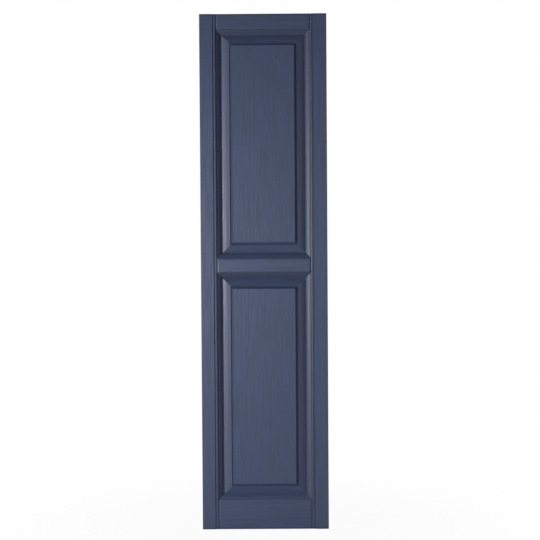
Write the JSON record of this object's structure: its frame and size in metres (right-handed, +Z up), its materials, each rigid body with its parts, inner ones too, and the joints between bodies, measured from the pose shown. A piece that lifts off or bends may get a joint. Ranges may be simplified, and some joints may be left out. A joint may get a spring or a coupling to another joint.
{
  "type": "raised panel window shutter",
  "caption": "Tall exterior window shutter with flat stiles and rails, beaded stile edges and stacked raised panels with bevelled borders; fixes flat to the wall beside a window.",
  "frame": {"origin": "middle of the mid rail's back face, on the wall plane", "axes": "+Z up the shutter, +Y into the wall so that the panels face -Y, +X across the width"},
  "size_m": [0.3682, 0.0286, 1.4986],
  "materials": {
    "stile_pvc": "slate blue rigid PVC, satin, embossed with upright wood grain",
    "rail_pvc": "slate blue rigid PVC, satin, embossed with level wood grain",
    "panel_pvc": "slate blue rigid PVC, satin, embossed with arched wood grain",
    "plug_pvc": "slate blue rigid PVC, satin, plain"
  },
  "bodies": {
    "root": {"left_stile": "stile_pvc", "right_stile": "stile_pvc", "top_rail": "rail_pvc", "mid_rail": "rail_pvc", "bottom_rail": "rail_pvc", "upper_panel": "panel_pvc", "lower_panel": "panel_pvc", "left_top_end_plug": "plug_pvc", "right_top_end_plug": "plug_pvc", "left_bottom_end_plug": "plug_pvc", "right_bottom_end_plug": "plug_pvc"}
  },
  "joints": []
}
